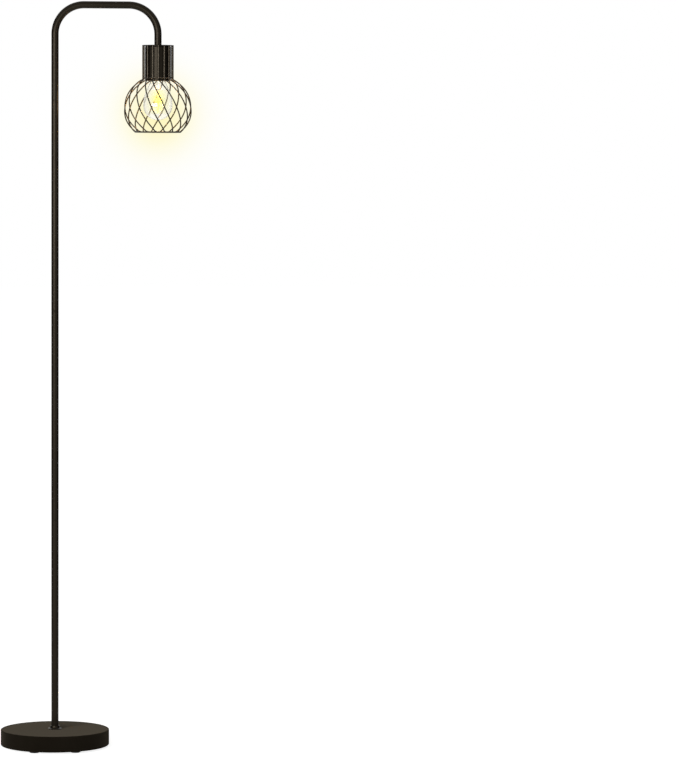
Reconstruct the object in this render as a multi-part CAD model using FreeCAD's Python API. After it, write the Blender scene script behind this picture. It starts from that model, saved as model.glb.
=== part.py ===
import FreeCAD, Part
import math
import os

# A floor lamp with a twisted wire-cage head hanging from an arched pole.
# Millimetres. The floor is z = 0, the pole stands on the z axis, the arm reaches towards +x
# and the front of the lamp faces -y. Each function makes one piece, or one set of like pieces.

Vector = FreeCAD.Vector

# ---- Driving dimensions ----

# Pole and arm: one size of steel tube, screwed together from straight lengths and one bent length.
LAMP_HEIGHT = 1650.0
ARM_REACH = 226.0            # pole axis to head axis
TUBE_R = 8.0
TUBE_WALL = 1.2
BEND_R = 64.0                # centre line of both bends of the arm
STRAIGHT_TUBES = 3
ARM_SEAM_Z = 1432.0          # where the bent length screws on
TUBE_CHAMFER = 0.5

# Threaded pieces that join the tubes, drawn at their plain diameters.
THREAD_R = 4.9
THREAD_HOLE_R = 5.0
THREAD_BORE_R = 3.3          # the lead wire passes through every threaded piece
INSERT_LENGTH = 14.0
SEAM_FLANGE_T = 1.8          # flange of an insert, which shows as a ring between two tubes
NIPPLE_LENGTH = 26.0
SCREW_HOLE_R = 5.3           # clearance hole for a threaded piece

# Base: a pressed steel cover, rolled in at its lower edge round a cast filling.
COVER_R = 120.0
COVER_TOP = 40.5
COVER_BOTTOM = 5.5
COVER_WALL = 1.5
COVER_TOP_EDGE_R = 2.5
COVER_ROLL_R = 2.5
FILLING_GAP = 0.2
PLATE_T = 2.0
PLATE_GAP = 0.3
FOOT_R = 11.0
FOOT_CHAMFER = 1.0
FOOT_POCKET = 1.0
FOOT_CIRCLE_R = 90.0
FOOT_COUNT = 6
RECESS_R = 18.0
RECESS_TOP = 32.0
COLLAR_R = 15.0
COLLAR_H = 8.0
CORD_Z = 16.5                # cord outlet at the rear of the base
CORD_HOLE_R = 3.25
GROMMET_R = 5.0
GROMMET_FLANGE_R = 7.0
GROMMET_FLANGE_T = 1.8
LEAD_R = 2.5
LEAD_BEND_R = 13.5           # as large as the recess leaves room for
LEAD_BEND_TOP = 24.0

# Head: a top plate, straight wires round a cup, and the same wires bulging into the cage.
HEAD_TOP = 1554.5
TOP_PLATE_T = 1.5
WIRE_R = 1.4
WIRE_COUNT = 16
NECK_R = 33.3                # wire centres
CAGE_R = 73.9
RIM_R = 50.0
RIM_WIRE_R = 1.5
RIM_Z = 1363.5
EQUATOR_H = 49.5             # above the rim ring
NECK_H = 115.8
TWIST = 60.0                 # degrees that a wire turns from the neck to the rim
TWIST_EASE = 0.19            # the turn is faster at both ends by this share
FIRST_WIRE = 0.5             # degrees from the front to the nearest wire at the neck
NECK_BEND_START = 1.5
NECK_BEND_END = 0.05         # share of the curved length that the bend at the neck takes
CURVE_STEPS = 3
NECK_RING_WIRE_R = 1.3
NECK_RING_H = 3.2            # above the start of the bulge

CUP_R = 28.5
CUP_WALL = 1.2
CUP_BOTTOM = 1476.0
CUP_CORNER_R = 3.0

# Lamp socket inside the cup, from the top down.
LOCK_WASHER_T = 1.0
LOCK_NUT_T = 3.0
LOCK_NUT_R = 8.1             # over the corners of the hexagon
SOCKET_CAP_TOP = 1547.6
SOCKET_CAP_SHOULDER = 1543.0
SOCKET_SPLIT = 1536.0
SOCKET_FLOOR = 1532.5
SOCKET_MOUTH = 1499.0
SOCKET_R = 20.5
SOCKET_BORE_R = 14.8
SCREW_SHELL_R = 14.7
SCREW_SHELL_WALL = 0.5

# Bulb: pear-shaped clear glass on a screw base. Heights are above its lowest point.
BULB_Z = 1390.0
BULB_R = 32.0
BULB_SIDE_R = 90.0           # long curve from the widest point up
BULB_SIDE_H = 43.0
BULB_THROAT_R = 54.0         # reverse curve into the neck
GLASS_WALL = 0.8
BULB_NECK_H = 104.0
BULB_SEAL_R = 12.6
BULB_SEAL_H = 112.0
BULB_GLASS_H = 116.0
SCREW_BASE_R = 13.2
SCREW_BASE_WALL = 0.4
SCREW_BASE_BOTTOM = 109.5
SCREW_BASE_SHOULDER = 132.0
SCREW_BASE_TOP = 135.0
TIP_R = 6.0
CONTACT_R = 4.2
CONTACT_H = 137.5
BULB_H = 140.0
STEM_ROD_R = 1.5
STEM_BOTTOM = 17.0
STEM_PINCH = 94.0
STRAND_R = 8.5
STRAND_TOP = 66.0
STRAND_BOTTOM = 20.0
STRAND_W = 0.5
STRAND_PAIRS = 5
HOOK_SPLAY = 6.0             # degrees between a hook's middle and each strand end

# ---- Worked out from them ----

TUBE_BORE_R = TUBE_R - TUBE_WALL
ARM_Z = LAMP_HEIGHT - TUBE_R
POLE_FOOT_Z = COVER_TOP + 2.0
STRAIGHT_LENGTH = (ARM_SEAM_Z - POLE_FOOT_Z) / STRAIGHT_TUBES
SEAMS = [POLE_FOOT_Z + (i + 1) * STRAIGHT_LENGTH for i in range(STRAIGHT_TUBES)]
HALF_FLANGE = SEAM_FLANGE_T / 2
PLATE_TOP = COVER_BOTTOM + PLATE_T
PLATE_UNDERSIDE = HEAD_TOP - TOP_PLATE_T
NECK_Z = RIM_Z + NECK_H
EQUATOR_Z = RIM_Z + EQUATOR_H
CUP_CEILING = PLATE_UNDERSIDE - CUP_WALL


# ---- Ways of making a solid ----

def in_profile(point):
    return Vector(point[0], 0, point[1])


def on_circle(centre, radius, degrees):
    """Point of a profile circle, counted anticlockwise from straight out."""
    angle = math.radians(degrees)
    return (centre[0] + radius * math.cos(angle), centre[1] + radius * math.sin(angle))


def arc_round(centre, radius, start, end):
    """Profile step: the arc of a circle from one angle to another, as (through, end)."""
    return (on_circle(centre, radius, (start + end) / 2), on_circle(centre, radius, end))


def spun(start, *steps, axis_x=0.0):
    """Turn a closed (radius, height) profile about the vertical line at axis_x.

    A step is a point to draw a line to, or a pair of points: an arc through the first to the second.
    """
    here, edges = start, []
    for step in steps + (start,):
        if isinstance(step[0], tuple):
            through, there = step
            edges.append(Part.Arc(*map(in_profile, (here, through, there))).toShape())
        else:
            there = step
            edges.append(Part.LineSegment(in_profile(here), in_profile(there)).toShape())
        here = there
    solid = Part.Face(Part.Wire(edges)).revolve(Vector(), Vector(0, 0, 1), 360)
    if solid.Volume < 0:
        solid.reverse()
    solid.translate(Vector(axis_x, 0, 0))
    return solid


def sleeve(outer_r, inner_r, low, high, axis_x=0.0):
    return spun((inner_r, low), (outer_r, low), (outer_r, high), (inner_r, high), axis_x=axis_x)


def rod(radius, low, high, x=0.0, y=0.0):
    return Part.makeCylinder(radius, high - low, Vector(x, y, low))


def box(x_range, y_range, z_range):
    size = [pair[1] - pair[0] for pair in (x_range, y_range, z_range)]
    return Part.makeBox(*size, Vector(x_range[0], y_range[0], z_range[0]))


def bar(start, end, width):
    """Square bar between two points."""
    along = (end - start).normalize()
    side = along.cross(Vector(0, 0, 1))
    if side.Length < 0.1:
        side = Vector(1, 0, 0)
    side.normalize()
    up = side.cross(along)
    corners = [start + side * (a * width / 2) + up * (b * width / 2)
               for a, b in ((-1, -1), (1, -1), (1, 1), (-1, 1), (-1, -1))]
    return Part.Face(Part.makePolygon(corners)).extrude(end - start)


def pipe(edges, radius):
    """Round wire along a smooth path."""
    path = Part.Wire(edges)
    first = edges[0].FirstParameter
    section = Part.Wire(Part.makeCircle(radius, edges[0].valueAt(first), edges[0].tangentAt(first)))
    return path.makePipeShell([section], True, False)


def round_about(radius, degrees, height, axis_x=0.0):
    angle = math.radians(degrees)
    return Vector(axis_x + radius * math.cos(angle), radius * math.sin(angle), height)


def line(start, end):
    return Part.LineSegment(start, end).toShape()


def arc_from(start, heading, end):
    """Arc that leaves start along heading and ends at end."""
    chord = end - start
    turn = heading.getAngle(chord)
    bulge = heading - chord * (heading.dot(chord) / chord.dot(chord))
    bulge.normalize()
    middle = (start + end) * 0.5 + bulge * (chord.Length / 2 * math.tan(turn / 2))
    return Part.Arc(start, middle, end).toShape()


def twin_arcs(start, heading, end, end_heading):
    """Two arcs with one tangent where they meet, from a point and heading to another."""
    chord = end - start
    both = heading + end_heading
    along = chord.dot(both)
    spread = 2 * (1 - heading.dot(end_heading))
    reach = (math.sqrt(along * along + spread * chord.dot(chord)) - along) / spread
    meet = (start + end + (heading - end_heading) * reach) * 0.5
    meet_heading = (end - end_heading * reach) - (start + heading * reach)
    meet_heading.normalize()
    return [arc_from(start, heading, meet), arc_from(meet, meet_heading, end)]


# ---- Base ----

def base_cover():
    """Pressed cover: flat top, upright side, lower edge rolled inwards."""
    top_edge = (COVER_R - COVER_TOP_EDGE_R, COVER_TOP - COVER_TOP_EDGE_R)
    roll = (COVER_R - COVER_ROLL_R, COVER_BOTTOM + COVER_ROLL_R)
    cover = spun(
        (SCREW_HOLE_R, COVER_TOP), (top_edge[0], COVER_TOP), arc_round(top_edge, COVER_TOP_EDGE_R, 90, 0),
        (COVER_R, roll[1]), arc_round(roll, COVER_ROLL_R, 0, -90),
        (roll[0], COVER_BOTTOM + COVER_WALL), arc_round(roll, COVER_ROLL_R - COVER_WALL, -90, 0),
        (COVER_R - COVER_WALL, top_edge[1]), arc_round(top_edge, COVER_TOP_EDGE_R - COVER_WALL, 0, 90),
        (SCREW_HOLE_R, COVER_TOP - COVER_WALL))
    hole = Part.makeCylinder(GROMMET_R, 20, Vector(0, COVER_R - 10, CORD_Z), Vector(0, 1, 0))
    return cover.cut(hole)


def base_filling():
    """Cast weight with a recess for the clamping nut and a channel for the cord."""
    radius = COVER_R - COVER_WALL - FILLING_GAP
    lip = COVER_ROLL_R
    top = COVER_TOP - COVER_WALL
    filling = spun(
        (SCREW_HOLE_R, top), (radius - COVER_TOP_EDGE_R, top), (radius, top - COVER_TOP_EDGE_R),
        (radius, PLATE_TOP + lip), (radius - lip, PLATE_TOP), (RECESS_R, PLATE_TOP),
        (RECESS_R, RECESS_TOP), (SCREW_HOLE_R, RECESS_TOP))
    channel = box((-GROMMET_R, GROMMET_R), (0, COVER_R), (PLATE_TOP, CORD_Z + GROMMET_R))
    pocket_w = GROMMET_FLANGE_R + 1
    pocket = box((-pocket_w, pocket_w), (COVER_R - 12, COVER_R), (PLATE_TOP, CORD_Z + pocket_w))
    return filling.cut(channel).cut(pocket)


def foot_places():
    """The feet stand on one circle, two of them either side of the front."""
    return [round_about(FOOT_CIRCLE_R, 360 / FOOT_COUNT * i, 0) for i in range(FOOT_COUNT)]


def base_plate():
    """Bottom plate with a hole under the nut and a shallow pocket for each foot."""
    plate = sleeve(COVER_R - COVER_ROLL_R - PLATE_GAP, RECESS_R, COVER_BOTTOM, PLATE_TOP)
    for place in foot_places():
        plate = plate.cut(rod(FOOT_R + PLATE_GAP, 0, COVER_BOTTOM + FOOT_POCKET, place.x, place.y))
    return plate


def base_feet():
    """Rubber feet, chamfered at the floor and glued into the pockets of the bottom plate."""
    top = COVER_BOTTOM + FOOT_POCKET
    foot = spun((0, 0), (FOOT_R - FOOT_CHAMFER, 0), (FOOT_R, FOOT_CHAMFER), (FOOT_R, top), (0, top))
    return Part.Compound([foot.translated(place) for place in foot_places()])


def base_stud():
    """Hollow threaded rod that clamps the pole, the collar and the base together."""
    return sleeve(THREAD_R, THREAD_BORE_R, LEAD_BEND_TOP - 0.5, POLE_FOOT_Z + INSERT_LENGTH - 1)


def base_washer():
    return sleeve(15.0, SCREW_HOLE_R, RECESS_TOP - 2, RECESS_TOP)


def hexagon(corner_r, hole_r, low, high, axis_x=0.0):
    corners = [round_about(corner_r, 60 * i, low, axis_x) for i in range(7)]
    body = Part.Face(Part.makePolygon(corners)).extrude(Vector(0, 0, high - low))
    return body.cut(rod(hole_r, low, high, axis_x))


def base_nut():
    return hexagon(9.8, THREAD_HOLE_R, RECESS_TOP - 8, RECESS_TOP - 2)


def base_collar():
    """Flared collar at the foot of the pole, which sits in its counterbore."""
    top = COVER_TOP + COLLAR_H
    return spun(
        (SCREW_HOLE_R, COVER_TOP), (COLLAR_R, COVER_TOP), (COLLAR_R, COVER_TOP + 1.2),
        ((TUBE_R + 3.1, COVER_TOP + 3.6), (TUBE_R + 1.6, top - 0.8)), (TUBE_R + 1.1, top),
        (TUBE_R + 0.1, top), (TUBE_R + 0.1, POLE_FOOT_Z), (SCREW_HOLE_R, POLE_FOOT_Z))


def cord_grommet():
    """Rubber bush round the cord outlet, with a flange on each side of the cover's wall."""
    start = COVER_R - 6.0
    end = COVER_R + GROMMET_FLANGE_T
    rear, origin = Vector(0, 1, 0), Vector(0, start, CORD_Z)
    body = Part.makeCylinder(GROMMET_FLANGE_R, end - start, origin, rear)
    wall = sleeve(COVER_R, COVER_R - COVER_WALL, 0, COVER_TOP)
    bush = Part.makeCylinder(GROMMET_R, end - start, origin, rear)
    hole = Part.makeCylinder(CORD_HOLE_R, end - start, origin, rear)
    return body.cut(wall).fuse(bush).removeSplitter().cut(hole)


# ---- Pole and arm ----

def straight_tube(low, high):
    """Tube with a small chamfer outside each end, which shows as a line beside the flange at a seam."""
    return spun(
        (TUBE_BORE_R, low), (TUBE_R - TUBE_CHAMFER, low), (TUBE_R, low + TUBE_CHAMFER),
        (TUBE_R, high - TUBE_CHAMFER), (TUBE_R - TUBE_CHAMFER, high), (TUBE_BORE_R, high))


def arm_path(low, head_low):
    """Up the pole, over two quarter bends and down to the head."""
    bend_z = ARM_Z - BEND_R
    slope = BEND_R * math.sqrt(0.5)
    near, far = BEND_R, ARM_REACH - BEND_R
    return [
        line(Vector(0, 0, low), Vector(0, 0, bend_z)),
        Part.Arc(Vector(0, 0, bend_z), Vector(near - slope, 0, bend_z + slope), Vector(near, 0, ARM_Z)).toShape(),
        line(Vector(near, 0, ARM_Z), Vector(far, 0, ARM_Z)),
        Part.Arc(Vector(far, 0, ARM_Z), Vector(far + slope, 0, bend_z + slope),
                 Vector(ARM_REACH, 0, bend_z)).toShape(),
        line(Vector(ARM_REACH, 0, bend_z), Vector(ARM_REACH, 0, head_low))]


def arm_bend():
    low = ARM_SEAM_Z + HALF_FLANGE
    path = arm_path(low, HEAD_TOP)
    tube = pipe(path, TUBE_R).cut(pipe(path, TUBE_BORE_R))
    corner = spun((TUBE_R - TUBE_CHAMFER, low), (TUBE_R + 1, low - 1), (TUBE_R + 1, low + TUBE_CHAMFER + 1))
    return tube.cut(corner)


def tube_inserts():
    """Threaded plugs rolled into the tube ends: one at the foot, one at the head and two at each seam.

    The lower plug at a seam has a flange, flush with the tubes that it stands between.
    """
    inserts = [sleeve(TUBE_BORE_R, THREAD_HOLE_R, POLE_FOOT_Z, POLE_FOOT_Z + INSERT_LENGTH),
               sleeve(TUBE_BORE_R, THREAD_HOLE_R, HEAD_TOP, HEAD_TOP + INSERT_LENGTH, ARM_REACH)]
    for seam in SEAMS:
        low, high = seam - HALF_FLANGE, seam + HALF_FLANGE
        inserts.append(spun(
            (THREAD_HOLE_R, low - INSERT_LENGTH), (TUBE_BORE_R, low - INSERT_LENGTH), (TUBE_BORE_R, low),
            (TUBE_R, low), (TUBE_R, high), (THREAD_HOLE_R, high)))
        inserts.append(sleeve(TUBE_BORE_R, THREAD_HOLE_R, high, high + INSERT_LENGTH))
    return Part.Compound(inserts)


def pole_nipples():
    half = NIPPLE_LENGTH / 2
    return Part.Compound([sleeve(THREAD_R, THREAD_BORE_R, seam - half, seam + half) for seam in SEAMS])


def lead_wire():
    """Mains lead inside the lamp, from the cord outlet up the pole and over the arm to the socket.

    It slants down to the bend, which turns it up the stud; the slant touches the bend's circle.
    """
    outlet = Vector(0, COVER_R - 9, CORD_Z)
    middle = Vector(0, LEAD_BEND_R, LEAD_BEND_TOP)
    sight = outlet - middle
    slant = math.degrees(math.asin(LEAD_BEND_R / sight.Length) + math.atan2(sight.z, sight.y))
    bend_in, bend_middle, bend_out = [
        Vector(0, *on_circle((middle.y, middle.z), LEAD_BEND_R, angle))
        for angle in (270 + slant, 225 + slant / 2, 180)]
    inlet = [line(outlet, bend_in), Part.Arc(bend_in, bend_middle, bend_out).toShape()]
    return pipe(inlet + arm_path(LEAD_BEND_TOP, SOCKET_SPLIT + 3), LEAD_R)


# ---- Wire cage ----

def cage_point(share, first):
    """Centre of a wire and its heading, at a share of the way from the neck to the rim.

    The outline is two quarter ellipses that meet at the equator, and share steps evenly in latitude.
    """
    neck_latitude = math.acos(NECK_R / CAGE_R)
    rim_latitude = -math.acos(RIM_R / CAGE_R)
    latitude = neck_latitude + share * (rim_latitude - neck_latitude)
    upper = (NECK_H - EQUATOR_H) / math.sin(neck_latitude)
    lower = -EQUATOR_H / math.sin(rim_latitude)
    height = upper if latitude > 0 else lower
    radius = CAGE_R * math.cos(latitude)
    eased = share + TWIST_EASE * math.sin(2 * math.pi * share) / (2 * math.pi)
    turned = math.radians(first + TWIST * eased)
    place = Vector(ARM_REACH + radius * math.cos(turned), radius * math.sin(turned),
                   EQUATOR_Z + height * math.sin(latitude))
    fall = rim_latitude - neck_latitude
    outward = -CAGE_R * math.sin(latitude) * fall
    around = radius * math.radians(TWIST) * (1 + TWIST_EASE * math.cos(2 * math.pi * share))
    heading = Vector(outward * math.cos(turned) - around * math.sin(turned),
                     outward * math.sin(turned) + around * math.cos(turned),
                     height * math.cos(latitude) * fall)
    return place, heading.normalize()


def rim_ring():
    return Part.makeTorus(RIM_R, RIM_WIRE_R, Vector(ARM_REACH, 0, RIM_Z))


def wire_directions():
    """Angle of each wire's straight part; the first is the one nearest to the front."""
    return [-90 + FIRST_WIRE + 360 / WIRE_COUNT * i for i in range(WIRE_COUNT)]


def cage_wire(direction):
    """One wire: straight down the neck, bent out, then down a slanting line of the globe to the rim ring."""
    top = round_about(NECK_R, direction, PLATE_UNDERSIDE, ARM_REACH)
    bend = round_about(NECK_R, direction, NECK_Z + NECK_BEND_START, ARM_REACH)
    place, heading = cage_point(NECK_BEND_END, direction)
    edges = [line(top, bend)] + twin_arcs(bend, Vector(0, 0, -1), place, heading)
    for i in range(CURVE_STEPS):
        share = NECK_BEND_END + (1 - NECK_BEND_END) * (i + 1) / CURVE_STEPS
        next_place, next_heading = cage_point(share, direction)
        edges += twin_arcs(place, heading, next_place, next_heading)
        place, heading = next_place, next_heading
    return pipe(edges, WIRE_R).cut(rim_ring())


def top_plate():
    return sleeve(NECK_R + WIRE_R, SCREW_HOLE_R, PLATE_UNDERSIDE, HEAD_TOP, ARM_REACH)


def neck_ring():
    """Ring inside the wires at the foot of the neck, spot-welded where it touches each wire."""
    radius = NECK_R - WIRE_R - NECK_RING_WIRE_R
    return Part.makeTorus(radius, NECK_RING_WIRE_R, Vector(ARM_REACH, 0, NECK_Z + NECK_RING_H))


# ---- Cup and socket ----

def socket_cup():
    """Spun cup that hides the socket, open at the bottom."""
    outer = (CUP_R - CUP_CORNER_R, PLATE_UNDERSIDE - CUP_CORNER_R)
    inner_r = CUP_CORNER_R - CUP_WALL
    return spun(
        (SCREW_HOLE_R, PLATE_UNDERSIDE), (outer[0], PLATE_UNDERSIDE), arc_round(outer, CUP_CORNER_R, 90, 0),
        (CUP_R, CUP_BOTTOM), (CUP_R - CUP_WALL, CUP_BOTTOM), (CUP_R - CUP_WALL, outer[1]),
        arc_round(outer, inner_r, 0, 90), (SCREW_HOLE_R, CUP_CEILING), axis_x=ARM_REACH)


def head_nipple():
    return sleeve(THREAD_R, THREAD_BORE_R, SOCKET_CAP_SHOULDER, HEAD_TOP + INSERT_LENGTH - 1, ARM_REACH)


def lock_washer():
    return sleeve(9.0, SCREW_HOLE_R, CUP_CEILING - LOCK_WASHER_T, CUP_CEILING, ARM_REACH)


def lock_nut():
    top = CUP_CEILING - LOCK_WASHER_T
    return hexagon(LOCK_NUT_R, THREAD_HOLE_R, top - LOCK_NUT_T, top, ARM_REACH)


def socket_cap():
    """Top half of the socket, with the threaded neck that screws onto the nipple."""
    neck_r, wall = 7.5, 2.0
    corner = (SOCKET_R - wall, SOCKET_CAP_SHOULDER)
    return spun(
        (THREAD_HOLE_R, SOCKET_CAP_TOP), (neck_r, SOCKET_CAP_TOP), (neck_r, SOCKET_CAP_SHOULDER + wall),
        (corner[0], SOCKET_CAP_SHOULDER + wall), arc_round(corner, wall, 90, 0), (SOCKET_R, SOCKET_SPLIT),
        (SOCKET_R - wall, SOCKET_SPLIT), (SOCKET_R - wall, SOCKET_CAP_SHOULDER),
        (THREAD_HOLE_R, SOCKET_CAP_SHOULDER), axis_x=ARM_REACH)


def socket_body():
    """Porcelain lower half: a floor for the contacts and a bore for the screw shell."""
    lip = 1.5
    return spun(
        (0, SOCKET_SPLIT), (SOCKET_R, SOCKET_SPLIT), (SOCKET_R, SOCKET_MOUTH + lip),
        (SOCKET_R - lip, SOCKET_MOUTH), (SOCKET_BORE_R + lip, SOCKET_MOUTH),
        (SOCKET_BORE_R, SOCKET_MOUTH + lip), (SOCKET_BORE_R, SOCKET_FLOOR), (0, SOCKET_FLOOR),
        axis_x=ARM_REACH)


def socket_screw_shell():
    inner = SCREW_SHELL_R - SCREW_SHELL_WALL
    return spun(
        (SCREW_SHELL_R, SOCKET_MOUTH + 5), (SCREW_SHELL_R, SOCKET_FLOOR), (8.0, SOCKET_FLOOR),
        (8.0, SOCKET_FLOOR - SCREW_SHELL_WALL), (inner, SOCKET_FLOOR - SCREW_SHELL_WALL),
        (inner, SOCKET_MOUTH + 5), axis_x=ARM_REACH)


def socket_contact():
    """Spring tongue over the tip of the bulb: a rivet at one side and a blade bent down to the middle."""
    half_width, blade = 3.0, 0.5
    tip = BULB_Z + BULB_H + 0.4
    x, z = ARM_REACH, SOCKET_FLOOR
    outline = [(x + 6.5, z), (x + 2.5, z), (x - 1.5, tip + blade), (x - 4.0, tip + blade),
               (x - 4.0, tip), (x - 1.2, tip), (x + 2.2, z - blade), (x + 6.5, z - blade), (x + 6.5, z)]
    blade_face = Part.Face(Part.makePolygon([Vector(px, -half_width, pz) for px, pz in outline]))
    return blade_face.extrude(Vector(0, 2 * half_width, 0))


# ---- Bulb ----

def glass_outline(inset):
    """Glass profile from the bottom to the throat, moved inwards by the wall: points and arcs."""
    ball = (0, BULB_Z + BULB_R)
    side = (BULB_R - BULB_SIDE_R, BULB_Z + BULB_R)
    lean = math.degrees(math.asin(BULB_SIDE_H / BULB_SIDE_R))
    meet = on_circle(side, BULB_SIDE_R + BULB_THROAT_R, lean)
    steps = [arc_round(ball, BULB_R - inset, -90, 0), arc_round(side, BULB_SIDE_R - inset, 0, lean),
             arc_round(meet, BULB_THROAT_R + inset, 180 + lean, 180)]
    neck_r = meet[0] - BULB_THROAT_R - inset
    steps += [(neck_r, BULB_Z + BULB_NECK_H), (BULB_SEAL_R - inset, BULB_Z + BULB_SEAL_H),
              (BULB_SEAL_R - inset, BULB_Z + BULB_GLASS_H)]
    return (0, BULB_Z + inset), steps


def bulb_glass():
    """Blown glass: the space inside is open at the top, where the stem is sealed in."""
    start, outside = glass_outline(0)
    hollow_start, inside = glass_outline(GLASS_WALL)
    top = BULB_Z + BULB_GLASS_H
    body = spun(start, *outside, (0, top))
    hollow = spun(hollow_start, *inside, (0, top))
    return body.cut(hollow).translated(Vector(ARM_REACH, 0, 0))


def bulb_screw_base():
    inner = SCREW_BASE_R - SCREW_BASE_WALL
    low, shoulder, top = (BULB_Z + h for h in (SCREW_BASE_BOTTOM, SCREW_BASE_SHOULDER, SCREW_BASE_TOP))
    flare = 0.5
    return spun(
        (SCREW_BASE_R + flare, low), (SCREW_BASE_R, low + 2.5), (SCREW_BASE_R, shoulder), (TIP_R, top),
        (TIP_R, top - SCREW_BASE_WALL), (inner, shoulder - SCREW_BASE_WALL), (inner, low + 2.5),
        (inner + flare, low), axis_x=ARM_REACH)


def bulb_insulator():
    """Black glass button between the screw base and the tip contact."""
    low, high = BULB_Z + SCREW_BASE_TOP, BULB_Z + CONTACT_H
    return spun((0, low), (TIP_R, low), (CONTACT_R, high), (0, high), axis_x=ARM_REACH)


def bulb_contact():
    """Domed tip contact."""
    low, rise = BULB_Z + CONTACT_H, BULB_H - CONTACT_H
    dome_r = (CONTACT_R ** 2 + rise ** 2) / (2 * rise)
    centre = (0, low + rise - dome_r)
    edge = math.degrees(math.asin((dome_r - rise) / dome_r))
    return spun((0, low), (CONTACT_R, low), arc_round(centre, dome_r, edge, 90), axis_x=ARM_REACH)


def bulb_stem():
    """Glass stem: a flare sealed into the neck, pinched to a rod that carries the hooks."""
    flare_r = BULB_SEAL_R - GLASS_WALL
    top, wall = BULB_Z + BULB_GLASS_H, 1.0
    pinch = BULB_Z + STEM_PINCH
    throat = 3.0
    return spun(
        (0, BULB_Z + STEM_BOTTOM), (STEM_ROD_R, BULB_Z + STEM_BOTTOM), (STEM_ROD_R, pinch - 4),
        (throat, pinch), (throat, top - 9), (flare_r, top - 2), (flare_r, top), (flare_r - wall, top),
        (throat - wall, top - 8), (0, top - 9), axis_x=ARM_REACH)


def hook_directions(offset):
    return [360 / STRAND_PAIRS * (i + offset) for i in range(STRAND_PAIRS)]


def bulb_hooks():
    """Fine wires: two rings of radial hooks on the stem, and the two leads that carry the current."""
    wires = []
    for height, offset in ((STRAND_TOP, 0), (STRAND_BOTTOM, 0.5)):
        for direction in hook_directions(offset):
            z = BULB_Z + height
            wires.append(bar(round_about(STEM_ROD_R, direction, z, ARM_REACH),
                             round_about(STRAND_R + 0.5, direction, z, ARM_REACH), STRAND_W))
    for direction in (36, 216):
        wires.append(bar(round_about(2.2, direction, BULB_Z + STEM_PINCH - 2.5, ARM_REACH),
                         round_about(STRAND_R - 0.6, direction, BULB_Z + STRAND_TOP + 1, ARM_REACH), STRAND_W))
    stem = bulb_stem()
    return Part.Compound([wire.cut(stem) for wire in wires])


def bulb_filament():
    """Ten strands that run down and up between the hooks, as one zigzag round the stem."""
    strands = []
    for direction in hook_directions(0):
        for side in (-1, 1):
            top = round_about(STRAND_R, direction + side * HOOK_SPLAY, BULB_Z + STRAND_TOP, ARM_REACH)
            below = direction + side * (180 / STRAND_PAIRS - HOOK_SPLAY)
            bottom = round_about(STRAND_R, below, BULB_Z + STRAND_BOTTOM, ARM_REACH)
            strands.append(bar(bottom, top, STRAND_W))
    return Part.Compound(strands)


# ---- The lamp ----

def pieces():
    """Every node of the lamp, by name."""
    nodes = {
        "base_cover": base_cover(), "base_filling": base_filling(), "base_plate": base_plate(),
        "base_feet": base_feet(), "base_stud": base_stud(), "base_washer": base_washer(),
        "base_nut": base_nut(), "base_collar": base_collar(), "cord_grommet": cord_grommet()}
    lows = [POLE_FOOT_Z] + [seam + HALF_FLANGE for seam in SEAMS]
    for name, low, seam in zip(("pole_lower", "pole_middle", "pole_upper"), lows, SEAMS):
        nodes[name] = straight_tube(low, seam - HALF_FLANGE)
    nodes.update({
        "arm_bend": arm_bend(), "tube_inserts": tube_inserts(), "pole_nipples": pole_nipples(),
        "lead_wire": lead_wire(), "cage_top_plate": top_plate(), "cage_neck_ring": neck_ring(),
        "cage_rim_ring": rim_ring()})
    for number, direction in enumerate(wire_directions(), 1):
        nodes[f"cage_wire_{number:02d}"] = cage_wire(direction)
    nodes.update({
        "head_nipple": head_nipple(), "socket_cup": socket_cup(), "lock_washer": lock_washer(),
        "lock_nut": lock_nut(), "socket_cap": socket_cap(), "socket_body": socket_body(),
        "socket_screw_shell": socket_screw_shell(), "socket_contact": socket_contact(),
        "bulb_glass": bulb_glass(), "bulb_screw_base": bulb_screw_base(),
        "bulb_insulator": bulb_insulator(), "bulb_contact": bulb_contact(), "bulb_stem": bulb_stem(),
        "bulb_hooks": bulb_hooks(), "bulb_filament": bulb_filament()})
    return nodes


os.makedirs("parts", exist_ok=True)
for node, shape in pieces().items():
    shape.exportStep(f"parts/{node}.step")
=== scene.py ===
import math

import bmesh
import bpy
import numpy as np
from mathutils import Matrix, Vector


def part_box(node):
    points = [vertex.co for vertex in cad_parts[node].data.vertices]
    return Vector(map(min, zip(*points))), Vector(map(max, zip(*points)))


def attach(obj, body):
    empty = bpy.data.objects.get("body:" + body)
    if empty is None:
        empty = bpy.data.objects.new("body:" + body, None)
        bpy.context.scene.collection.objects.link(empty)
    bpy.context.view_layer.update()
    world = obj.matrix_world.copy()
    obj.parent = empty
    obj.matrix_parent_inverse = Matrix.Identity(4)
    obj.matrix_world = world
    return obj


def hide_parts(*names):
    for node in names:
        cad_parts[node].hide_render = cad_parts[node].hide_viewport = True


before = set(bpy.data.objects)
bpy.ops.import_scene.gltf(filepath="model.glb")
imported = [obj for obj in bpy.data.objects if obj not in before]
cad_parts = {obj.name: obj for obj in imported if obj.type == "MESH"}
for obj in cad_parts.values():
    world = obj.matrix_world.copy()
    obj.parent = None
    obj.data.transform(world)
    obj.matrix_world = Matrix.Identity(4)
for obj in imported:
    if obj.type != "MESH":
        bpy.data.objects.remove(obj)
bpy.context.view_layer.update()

# A floor lamp: a weighted round base, a screwed tube pole that arches over, and a hanging globe of slanting
# wires round a lit filament bulb. Metres, in the frame of the CAD model: the floor is z = 0, the pole stands
# on the z axis, the arm reaches towards +x and the front faces -y.

scene = bpy.context.scene
scene.view_settings.view_transform = "Standard"


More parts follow.
